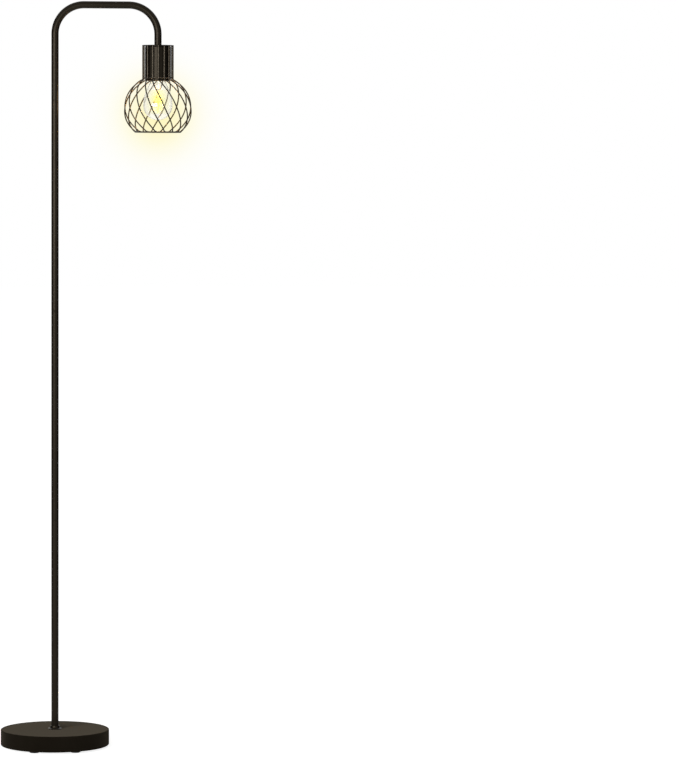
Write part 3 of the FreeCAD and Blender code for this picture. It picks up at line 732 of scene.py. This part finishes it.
def globe_line(share, first):
    """Middle line of a wire round the globe, at shares of its way from the neck to the rim.

    Its latitude falls evenly from the neck's to the rim's. Its distance from the axis is the globe's radius
    times the latitude's cosine, and its height above the equator is its sine times the half height of the
    globe there. It turns about the axis by the twist, a little faster at both ends.
    """
    neck_latitude, rim_latitude = math.acos(neck_r / GLOBE_R), -math.acos(RIM_R / GLOBE_R)
    latitude = neck_latitude + share * (rim_latitude - neck_latitude)
    upper = (NECK_RISE - EQUATOR_RISE) / math.sin(neck_latitude)
    lower = -EQUATOR_RISE / math.sin(rim_latitude)
    angle = first + TWIST * (share + TWIST_EASE * np.sin(2 * np.pi * share) / (2 * np.pi))
    radius = GLOBE_R * np.cos(latitude)
    height = equator_z + np.where(latitude > 0, upper, lower) * np.sin(latitude)
    return round_axis(radius, angle, height, head)


def wire_line(first):
    """Middle line of a whole wire: down the neck, round the bend in a cubic curve, and round the globe."""
    outward = np.array([math.cos(first), math.sin(first), 0])
    down = np.array([0, 0, -1.0])
    top = np.array([head_x, 0, plate_low.z]) + outward * neck_r
    bend_top = np.array([top[0], top[1], neck_z + BEND_START])
    share = np.linspace(BEND_SHARE, 1, 90)
    globe = globe_line(share, first)
    leaving = globe_line(np.array([BEND_SHARE, BEND_SHARE + 0.001]), first)
    heading = (leaving[1] - leaving[0]) / np.linalg.norm(leaving[1] - leaving[0])
    reach = np.linalg.norm(globe[0] - bend_top)
    t = np.linspace(0, 1, 14)[:, None]
    bend = ((2 * t ** 3 - 3 * t ** 2 + 1) * bend_top + (t ** 3 - 2 * t ** 2 + t) * reach * down
            + (3 * t ** 2 - 2 * t ** 3) * globe[0] + (t ** 3 - t ** 2) * reach * heading)
    fall = np.concatenate([np.linspace(0, 2.5 * WELD_R, 8), [0.01, 0.03, top[2] - bend_top[2] - 0.002]])
    straight = top + fall[:, None] * down
    return np.concatenate([straight, bend, globe[1:]]), outward


for number in range(WIRE_COUNT):
    direction = FIRST_WIRE + number * 2 * math.pi / WIRE_COUNT
    path, outward = wire_line(direction)
    # The weld under the plate is a hollow fillet that runs out down the wire, thickest on the inner side.
    below = np.clip(plate_low.z - path[:, 2], 0, WELD_R)
    fillet = WELD_R - np.sqrt(WELD_R ** 2 - (WELD_R - below) ** 2)
    inner_side = 0.5 - 0.5 * np.cos(np.arange(24) * (2 * np.pi / 24))
    wire = piece_of(f"wire_{number + 1:02d}", capped(drawn(
        path, WIRE_R + fillet[:, None] * inner_side, outward, 24)))
    fitted(wire, wire_coat, "bronze_coat", f"cage_wire_{number + 1:02d}")


# ---- Rings of the cage ----
# Two wire hoops, butt welded at the rear. The rim ring carries the wires' lower ends, and a small weld swells
# its top under each. The neck ring lies inside the wires at the foot of the neck, with a spot weld at each.

RIM_WIRE_R = 0.0015
NECK_RING_WIRE_R = 0.0013
NECK_RING_RISE = 0.0032
RIM_WELD = 0.0010
SPOT_WELD = 0.0004
WELD_REACH = 0.0022          # along the ring, to where a weld has fallen to a third
BUTT_SWELL = 0.00018
HOOP_STEPS = 960
HOOP_FACETS = 20


def hoop(radius, wire_r, height, weld, weld_at, weld_facing):
    """Patch of a ring of wire: rings of radius wire_r about a circle, at angle b round the circle.

    Each weld adds weld * 3 ** -(d / reach) ** 2 * f to wire_r, where d is the distance along the ring from it
    and f is how far the ring's point faces the weld. The butt weld at the rear adds a low band.
    """
    b = np.arange(HOOP_STEPS + 1) * (2 * np.pi / HOOP_STEPS)
    a = np.arange(HOOP_FACETS) * (2 * np.pi / HOOP_FACETS)
    spacing = 2 * np.pi / WIRE_COUNT
    from_weld = radius * ((b - weld_at + spacing / 2) % spacing - spacing / 2)
    from_butt = radius * (b - (np.pi / 2 + spacing / 2))
    facing = np.clip(np.cos(a - weld_facing), 0, 1) ** 1.5
    swell = weld * 3.0 ** -(from_weld / WELD_REACH) ** 2
    band = BUTT_SWELL * 3.0 ** -(from_butt / WELD_REACH) ** 2
    thick = wire_r + swell[:, None] * facing + band[:, None]
    return round_axis(radius + thick * np.cos(a), b[:, None], height + thick * np.sin(a), head)


rim_hoop = piece_of("rim_hoop", hoop(RIM_R, RIM_WIRE_R, rim_z, RIM_WELD, FIRST_WIRE + TWIST, np.pi / 2))
fitted(rim_hoop, wire_coat, "bronze_coat", "cage_rim_ring")
neck_hoop = piece_of("neck_hoop", hoop(
    neck_r - WIRE_R - NECK_RING_WIRE_R, NECK_RING_WIRE_R, neck_z + NECK_RING_RISE,
    SPOT_WELD, FIRST_WIRE, 0.0))
fitted(neck_hoop, wire_coat, "bronze_coat", "cage_neck_ring")


# ---- Cup ----
# Spun steel cup over the socket, clamped under the top plate, with its mouth turned in to a soft bead.

CUP_WALL = 0.0012
CUP_CORNER = 0.003
CUP_BEAD = 0.0009
CUP_BEAD_ROOT = 0.004

cup_low, cup_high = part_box("socket_cup")
cup_r = (cup_high.x - cup_low.x) / 2
cup_inner_r, bead_root = cup_r - CUP_WALL, cup_low.z + CUP_BEAD_ROOT
bead = np.linspace(0, -1.5 * np.pi, 16)
bead_r, bead_z = cup_r - CUP_BEAD, cup_low.z + CUP_BEAD
cup_outline = np.concatenate([
    rounded((SCREW_HOLE, cup_high.z), (cup_r, cup_high.z, CUP_CORNER), (cup_r, bead_root), closed=False),
    np.stack([bead_r + CUP_BEAD * np.cos(bead), bead_z + CUP_BEAD * np.sin(bead)], axis=1),
    rounded((cup_inner_r, bead_root), (cup_inner_r, cup_high.z - CUP_WALL, CUP_CORNER - CUP_WALL),
            (SCREW_HOLE, cup_high.z - CUP_WALL), closed=False),
    [(SCREW_HOLE, cup_high.z)]])
spun_cup = piece_of("spun_cup", turned(cup_outline, 160, head))
fitted(spun_cup, satin_bronze, "bronze_coat", "socket_cup")
refinished(zinc_plate, "head_nipple", "lock_washer")

lock_low, lock_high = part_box("lock_nut")
lock_nut = piece_of("head_nut", nut(lock_low.z, lock_high.z, lock_high.y, NUT_HOLE, head))
fitted(lock_nut, zinc_plate, "zinc_steel", "lock_nut")


# ---- Socket ----
# A black phenolic cap screwed on the nipple holds a glazed porcelain body. Inside that are a rolled brass
# screw shell and the sprung tongue that meets the bulb's tip.

THREAD_PITCH = 0.00362       # of the common large screw base
CAP_NECK_R = 0.0075
CAP_NECK_RISE = 0.0046
CAP_WALL = 0.002
CAP_BORE = 0.005
BODY_BORE = 0.0148
BODY_FLOOR = 0.0035
BODY_LIP = 0.0015
SHELL_WALL = 0.0004
SHELL_HOLE = 0.008
SHELL_THREAD = 0.0009

phenolic = material("black_phenolic")
flow = phenolic.noise(0.004, 3.0, (1.0, 1.0, 0.4))
socket_phenolic = phenolic.coated({
    "Base Color": phenolic.mixed(flow, (0.012, 0.010, 0.009, 1.0), (0.024, 0.020, 0.017, 1.0)),
    "Roughness": 0.30 + 0.14 * (flow - 0.5),
    "Normal": phenolic.relief(flow, 0.00002)})

glaze = material("glazed_porcelain")
pooling = glaze.noise(0.009, 2.0)
iron_speck = glaze.spread(glaze.noise(0.0011, 1.0), 0.74, 0.80)
clay = glaze.mixed(pooling, (0.76, 0.74, 0.69, 1.0), (0.86, 0.845, 0.80, 1.0))
socket_porcelain = glaze.coated({
    "Base Color": glaze.mixed(iron_speck, clay, (0.42, 0.36, 0.28, 1.0)),
    "Roughness": 0.10 + 0.10 * pooling,
    "Normal": glaze.relief(pooling, 0.0001)})


def rolled_brass(name, bright, dull, roughness):
    """Rolled brass with a light tarnish that gathers in clouds and dulls it."""
    brass = material(name)
    tarnish = brass.spread(brass.noise(0.005, 4.0), 0.35, 0.7)
    rolling = brass.noise(0.0005, 1.0, (1.0, 1.0, 12.0))
    return brass.coated({
        "Base Color": brass.mixed(tarnish, bright, dull),
        "Metallic": 1.0,
        "Roughness": roughness + 0.2 * tarnish + 0.08 * (rolling - 0.5),
        "Normal": brass.relief(rolling, 0.000008)})


shell_brass = rolled_brass("shell_brass", (0.80, 0.60, 0.28, 1.0), (0.55, 0.38, 0.18, 1.0), 0.24)


def thread(low, high, depth):
    """Ripple of a rounded right-hand thread at height z and angle a: depth / 2 times
    (cos(2 pi z / pitch - a) - 1), faded out over a pitch at both ends."""
    def ripple(height, angle):
        fade = np.clip(np.minimum(height - low, high - height) / THREAD_PITCH, 0, 1)
        return depth / 2 * fade * (np.cos(2 * np.pi * height / THREAD_PITCH - angle) - 1)
    return ripple


def rows_up(radius, low, high, count):
    """Straight stretch of an outline, in even rows."""
    return np.stack([np.full(count, radius), np.linspace(low, high, count)], axis=1)


cap_low, cap_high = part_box("socket_cap")
cap_r = (cap_high.x - cap_low.x) / 2
shoulder = cap_high.z - CAP_NECK_RISE
phenolic_cap = piece_of("phenolic_cap", turned(rounded(
    (CAP_BORE, cap_high.z), (CAP_NECK_R, cap_high.z, 0.0006), (CAP_NECK_R, shoulder + CAP_WALL, 0.0008),
    (cap_r, shoulder + CAP_WALL, 0.002), (cap_r, cap_low.z, 0.0004), (cap_r - CAP_WALL, cap_low.z),
    (cap_r - CAP_WALL, shoulder), (CAP_BORE, shoulder)), 120, head))
fitted(phenolic_cap, socket_phenolic, "socket_phenolic", "socket_cap")

body_low, body_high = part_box("socket_body")
body_r, body_floor = (body_high.x - body_low.x) / 2, body_high.z - BODY_FLOOR
porcelain_body = piece_of("porcelain_body", turned(rounded(
    (0, body_high.z), (body_r, body_high.z, 0.0005), (body_r, body_low.z, BODY_LIP),
    (BODY_BORE, body_low.z, BODY_LIP), (BODY_BORE, body_floor, 0.0006), (0, body_floor), closed=False),
    120, head))
fitted(porcelain_body, socket_porcelain, "socket_porcelain", "socket_body")

shell_low, shell_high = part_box("socket_screw_shell")
shell_r = (shell_high.x - shell_low.x) / 2
shell_thread = thread(shell_low.z + 0.001, shell_high.z - 0.002, SHELL_THREAD)
shell_outline = np.concatenate([
    rows_up(shell_r, shell_low.z, shell_high.z, 110),
    [(SHELL_HOLE, shell_high.z), (SHELL_HOLE, shell_high.z - SHELL_WALL)],
    rows_up(shell_r - SHELL_WALL, shell_low.z, shell_high.z - SHELL_WALL, 110)[::-1],
    [(shell_r, shell_low.z)]])
brass_shell = piece_of("brass_shell", turned(shell_outline, 96, head, shell_thread))
fitted(brass_shell, shell_brass, "shell_brass", "socket_screw_shell")
refinished(shell_brass, "socket_contact")


# ---- Bulb ----
# Clear blown glass, pear shaped, on a brass screw base with a black glass button and a soldered tip. Its
# glass stem carries two rings of hooks, and the filament runs up and down between them, lit. A painted glow
# of its warm light lies on clear sheets round the head, and most of all round the filament.

GLASS_WALL = 0.0008
BALL_R = 0.032
SIDE_R = 0.090
SIDE_RISE = 0.043
THROAT_R = 0.054
NECK_TOP = 0.104
SEAL_R = 0.0126
SEAL_RISE = 0.112
BASE_R = 0.0132
BASE_WALL = 0.0004
BASE_THREAD = 0.0011
BASE_RISE = 0.1095
SHOULDER_RISE = 0.132
BUTTON_RISE = 0.135
BUTTON_R = 0.006
TIP_R = 0.0042
TIP_RISE = 0.1375
STEM_R = 0.0015
LOW_BEAD_R = 0.0021
HIGH_BEAD_R = 0.0024
PINCH_R = 0.003
STRAND_CIRCLE = 0.0085
STRAND_TOP = 0.066
STRAND_BOTTOM = 0.020
STRAND_R = 0.00022
STRAND_COUNT = 10
STRAND_ROUNDING = 0.996      # how sharply a strand turns at its hooks, 1 for a plain corner
HOOK_R = 0.0002
HOOK_LOOP_R = 0.0006
PINCH_RISE = 0.094
TIP_LUMPS = 0.00012
GLASS_TINT = (1.0, 0.988, 0.91, 1.0)
STEM_TINT = (0.97, 0.98, 0.95, 1.0)
FILAMENT_GLOW = 2.5
BULB_POWER = 0.8
BULB_COLOUR = (1.0, 0.62, 0.28)
BULB_GLOW_R = 0.012
# Painted glow of the bulb's warm light, on clear sheets round the head and round the filament.
HEAD_GLOW_PAINT = (0.992, 0.93, 0.52, 1.0)
HEAD_GLOW_RISE = 0.012
HEAD_GLOW_REACH = (0.086, 0.086)
HEAD_GLOW_SIDE = 0.60
FILAMENT_GLOW_PAINT = (1.0, 0.97, 0.25, 1.0)
FILAMENT_GLOW_PAINT_RISE = 0.040
FILAMENT_GLOW_PAINT_REACH = (0.017, 0.027)
FILAMENT_GLOW_PAINT_SIDE = 0.052
FILAMENT_GLOW_PAINT_FORWARD = 0.0135

glass_low, glass_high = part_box("bulb_glass")
bulb_z = glass_low.z


def arc(middle, radius, start, end, count=24):
    """Stretch of an outline on a circle, between two angles in degrees from straight out."""
    angle = np.radians(np.linspace(start, end, count))
    return np.stack([middle[0] + radius * np.cos(angle), middle[1] + radius * np.sin(angle)], axis=1)


def pear(inset):
    """Outline of the glass: a ball, a long curve up its side, a reverse curve into the neck and a taper.
    Moving it in by the wall shrinks the first two arcs' radii and grows the third's."""
    side_x = BALL_R - SIDE_R
    lean = math.degrees(math.asin(SIDE_RISE / SIDE_R))
    beyond = SIDE_R + THROAT_R
    throat = (side_x + beyond * math.cos(math.radians(lean)),
              bulb_z + BALL_R + beyond * math.sin(math.radians(lean)))
    throat_x = throat[0] - THROAT_R - inset
    return np.concatenate([
        arc((0, bulb_z + BALL_R), BALL_R - inset, -90, 0, 40),
        arc((side_x, bulb_z + BALL_R), SIDE_R - inset, 0, lean, 28)[1:],
        arc(throat, THROAT_R + inset, 180 + lean, 180, 28)[1:],
        [(throat_x, bulb_z + NECK_TOP), (SEAL_R - inset, bulb_z + SEAL_RISE),
         (SEAL_R - inset, glass_high.z)]])


def clear_glass(name, colour):
    """Clear glass, with the faint waves of blown or drawn glass."""
    glass = material(name)
    wave = glass.noise(0.02, 2.0)
    return glass.coated({
        "Base Color": colour,
        "Roughness": 0.0,
        "IOR": 1.5,
        "Transmission Weight": 1.0,
        "Normal": glass.relief(wave, 0.0002)})


blown_glass = piece_of("blown_glass", turned(np.concatenate([pear(0), pear(GLASS_WALL)[::-1]]), 128, head))
blown_glass.visible_shadow = False
fitted(blown_glass, clear_glass("clear_glass", GLASS_TINT), "clear_glass", "bulb_glass", body="bulb")

base_low, shoulder_z, button_z = (bulb_z + rise for rise in (BASE_RISE, SHOULDER_RISE, BUTTON_RISE))
base_thread = thread(base_low + 0.0035, shoulder_z - 0.0005, BASE_THREAD)
base_outline = np.concatenate([
    [(BASE_R + 0.0001, base_low), (BASE_R + 0.0004, base_low + 0.0003), (BASE_R + 0.0001, base_low + 0.0012)],
    rows_up(BASE_R, base_low + 0.0020, shoulder_z - 0.0006, 96),
    [(BASE_R - 0.0005, shoulder_z), (BUTTON_R, button_z), (BUTTON_R, button_z - BASE_WALL),
     (BASE_R - 0.0012, shoulder_z - BASE_WALL)],
    rows_up(BASE_R - BASE_WALL, base_low + 0.0020, shoulder_z - 0.0012, 96)[::-1],
    [(BASE_R - BASE_WALL, base_low), (BASE_R + 0.0001, base_low)]])
screw_base = piece_of("screw_base", turned(base_outline, 96, head, base_thread))
fitted(screw_base, rolled_brass("base_brass", (0.78, 0.62, 0.34, 1.0), (0.58, 0.44, 0.24, 1.0), 0.22),
       "base_brass", "bulb_screw_base", body="bulb")

button_glass = material("black_button_glass")
swirl = button_glass.noise(0.003, 2.0)
glass_button = piece_of("glass_button", turned(rounded(
    (0, button_z), (BUTTON_R, button_z), (TIP_R, bulb_z + TIP_RISE, 0.0006), (0, bulb_z + TIP_RISE),
    closed=False), 64, head))
fitted(glass_button, button_glass.coated({
    "Base Color": button_glass.mixed(swirl, (0.010, 0.010, 0.013, 1.0), (0.022, 0.020, 0.026, 1.0)),
    "Roughness": 0.08 + 0.08 * swirl,
    "Normal": button_glass.relief(swirl, 0.00006)}), "black_glass", "bulb_insulator", body="bulb")

solder = material("soft_solder")
frost = solder.noise(0.0012, 3.0)
tip_low, tip_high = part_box("bulb_contact")
rise = np.linspace(0, np.pi / 2, 12)
dome = np.stack([TIP_R * np.cos(rise), tip_low.z + (tip_high.z - tip_low.z) * np.sin(rise)], axis=1)


def solder_lumps(height, angle):
    """Ripple of a drop of solder: three soft lumps round it, between its edge and its top."""
    return -TIP_LUMPS * (1 + np.sin(3 * angle)) * (height > tip_low.z) * (height < tip_high.z)


solder_tip = piece_of("solder_tip", turned(
    np.concatenate([[(0, tip_low.z)], dome]), 48, head, solder_lumps))
fitted(solder_tip, solder.coated({
    "Base Color": solder.mixed(frost, (0.42, 0.42, 0.41, 1.0), (0.62, 0.62, 0.60, 1.0)),
    "Metallic": 1.0,
    "Roughness": 0.34 + 0.2 * frost,
    "Normal": solder.relief(frost, 0.00005)}), "solder_tip", "bulb_contact", body="bulb")

stem_low, stem_top = [corner.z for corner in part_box("bulb_stem")]
pinch_z = bulb_z + PINCH_RISE
hook_rows = [bulb_z + STRAND_BOTTOM, bulb_z + STRAND_TOP]
glass_stem = piece_of("glass_stem", turned(rounded(
    (0, stem_low), (STEM_R, stem_low, 0.0012), (STEM_R, hook_rows[0] - 0.002, 0.002),
    (LOW_BEAD_R, hook_rows[0], 0.001), (STEM_R, hook_rows[0] + 0.002, 0.002),
    (STEM_R, hook_rows[1] - 0.0024, 0.002), (HIGH_BEAD_R, hook_rows[1], 0.0012),
    (STEM_R, hook_rows[1] + 0.0024, 0.002), (STEM_R, pinch_z - 0.004, 0.002), (PINCH_R, pinch_z, 0.003),
    (PINCH_R, stem_top - 0.009, 0.006), (SEAL_R - GLASS_WALL, stem_top - 0.002, 0.0015),
    (SEAL_R - GLASS_WALL, stem_top), (SEAL_R - 2 * GLASS_WALL, stem_top), (0.002, stem_top - 0.008, 0.004),
    (0, stem_top - 0.009), closed=False), 64, head))
glass_stem.visible_shadow = False
fitted(glass_stem, clear_glass("stem_glass", STEM_TINT), "stem_glass", "bulb_stem", body="bulb")


def hook_line(direction, height, curl):
    """Middle line of a hook: out from the stem, sagging a little, then curled round the filament."""
    out = np.linspace(0.0010, STRAND_CIRCLE - 0.0004, 14)
    sag = -0.0006 * np.sin(np.linspace(0, np.pi, 14))
    turn = np.linspace(-np.pi / 2, np.pi * 0.9, 14)[1:]
    radius = np.concatenate([out, out[-1] + HOOK_LOOP_R * np.cos(turn)])
    rise = np.concatenate([sag, HOOK_LOOP_R + HOOK_LOOP_R * np.sin(turn)]) * curl
    return round_axis(radius, direction, height + rise, head)


drawn_wire = material("hook_wire")
draw_lines = drawn_wire.noise(0.0006, 1.0)
hooks = []
for height, offset, curl in ((hook_rows[1], 0.0, 1), (hook_rows[0], 0.5, -1)):
    for step in range(STRAND_COUNT // 2):
        direction = (step + offset) * 4 * math.pi / STRAND_COUNT
        across = (-math.sin(direction), math.cos(direction), 0)
        hooks.append(capped(drawn(hook_line(direction, height, curl), HOOK_R, across, 10)))
for direction in (math.pi / 5, 6 * math.pi / 5):
    fall = np.linspace(0, 1, 30)[:, None]
    start = np.array([0.0022, pinch_z - 0.0025])
    end = np.array([STRAND_CIRCLE - 0.0006, hook_rows[1] + 0.001])
    flare = start + (end - start) * np.concatenate([fall ** 1.6, fall], axis=1)
    lead_line = round_axis(flare[:, 0], direction, flare[:, 1], head)
    hooks.append(capped(drawn(lead_line, HOOK_R * 1.2, (-math.sin(direction), math.cos(direction), 0), 10)))
stem_hooks = piece_of("stem_hooks", *hooks)
fitted(stem_hooks, drawn_wire.coated({
    "Base Color": drawn_wire.mixed(draw_lines, (0.40, 0.38, 0.35, 1.0), (0.56, 0.54, 0.50, 1.0)),
    "Metallic": 1.0,
    "Roughness": 0.32 + 0.12 * draw_lines}), "hook_wire", "bulb_hooks", body="bulb")

# One strand zigzags round the stem: its height is the middle's plus half the span times
# asin(k cos u) / asin(k), which is a straight zigzag with turns rounded by k just under 1.
u = np.linspace(0, STRAND_COUNT * np.pi, STRAND_COUNT * 48 + 1)
zigzag = np.arcsin(STRAND_ROUNDING * np.sin(u + np.pi / 2)) / math.asin(STRAND_ROUNDING)
round_stem = u * 2 / STRAND_COUNT
strand_z = sum(hook_rows) / 2 + (hook_rows[1] - hook_rows[0]) / 2 * zigzag
strand_path = round_axis(STRAND_CIRCLE, round_stem, strand_z, head)
strand_side = np.stack([np.cos(round_stem), np.sin(round_stem), round_stem * 0], axis=1)
glowing = material("glowing_filament")
heat = glowing.spread(glowing.noise(0.012, 2.0), 0.3, 0.7)
strand = piece_of("filament_strand", drawn(strand_path, STRAND_R, strand_side, 10))
fitted(strand, glowing.coated({
    "Base Color": (0.05, 0.03, 0.01, 1.0),
    "Roughness": 0.6,
    "Emission Color": glowing.mixed(heat, (1.0, 0.60, 0.16, 1.0), (1.0, 0.74, 0.30, 1.0)),
    "Emission Strength": FILAMENT_GLOW}), "filament", "bulb_filament", body="bulb")

bulb_light = bpy.data.lights.new("bulb_light", "POINT")
bulb_light.energy = BULB_POWER
bulb_light.color = BULB_COLOUR
bulb_light.shadow_soft_size = BULB_GLOW_R
lit_bulb = placed("bulb_light", bulb_light)
lit_bulb.location = (head_x, 0, sum(hook_rows) / 2)
lit_bulb.visible_camera = lit_bulb.visible_transmission = False
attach(lit_bulb, "bulb")


def painted_glow_sheet(name, colour, middle, reach, side):
    """Clear upright sheet that goes with the bulb and carries a painted glow of its light: 3 ** -(d / reach)
    ** 2 of the colour at distance d from its middle, with a reach of its own across and up."""
    x, y, z = middle
    half = side / 2
    sheet = flat_sheet(name, [(x - half, y, z - half), (x + half, y, z - half),
                              (x + half, y, z + half), (x - half, y, z + half)])
    tint = material(name)
    seen_at = tint.node("TexCoord", output="Object")
    offset = tint.node("VectorMath", {"operation": "SUBTRACT"}, {0: seen_at, 1: middle})
    shares = tint.node("VectorMath", {"operation": "DIVIDE"},
                       {0: offset, 1: (reach[0], 1, reach[1])})
    away = tint.node("VectorMath", {"operation": "LENGTH"}, {0: shares}, "Value")
    painted_glow_colour = tint.mixed(3.0 ** (away * away * -1.0), WHITE, colour)
    clear_painted_glow = tint.node("BsdfTransparent", None, {"Color": painted_glow_colour})
    tint.node("OutputMaterial", None, {"Surface": clear_painted_glow})
    sheet.data.materials.append(tint.owner)
    sheet.visible_shadow = sheet.visible_diffuse = sheet.visible_glossy = False
    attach(sheet, "bulb")
    return sheet


# Painted glow: these sheets tint what is seen through them yellow, in place of the bulb's light on the air.
head_glow_sheet = painted_glow_sheet("painted_glow_round_head", HEAD_GLOW_PAINT, (head_x, 0, bulb_z + HEAD_GLOW_RISE),
                    HEAD_GLOW_REACH, HEAD_GLOW_SIDE)
head_glow_sheet.visible_transmission = False
painted_glow_sheet("painted_glow_round_filament", FILAMENT_GLOW_PAINT, (head_x, -FILAMENT_GLOW_PAINT_FORWARD, bulb_z + FILAMENT_GLOW_PAINT_RISE),
         FILAMENT_GLOW_PAINT_REACH, FILAMENT_GLOW_PAINT_SIDE)
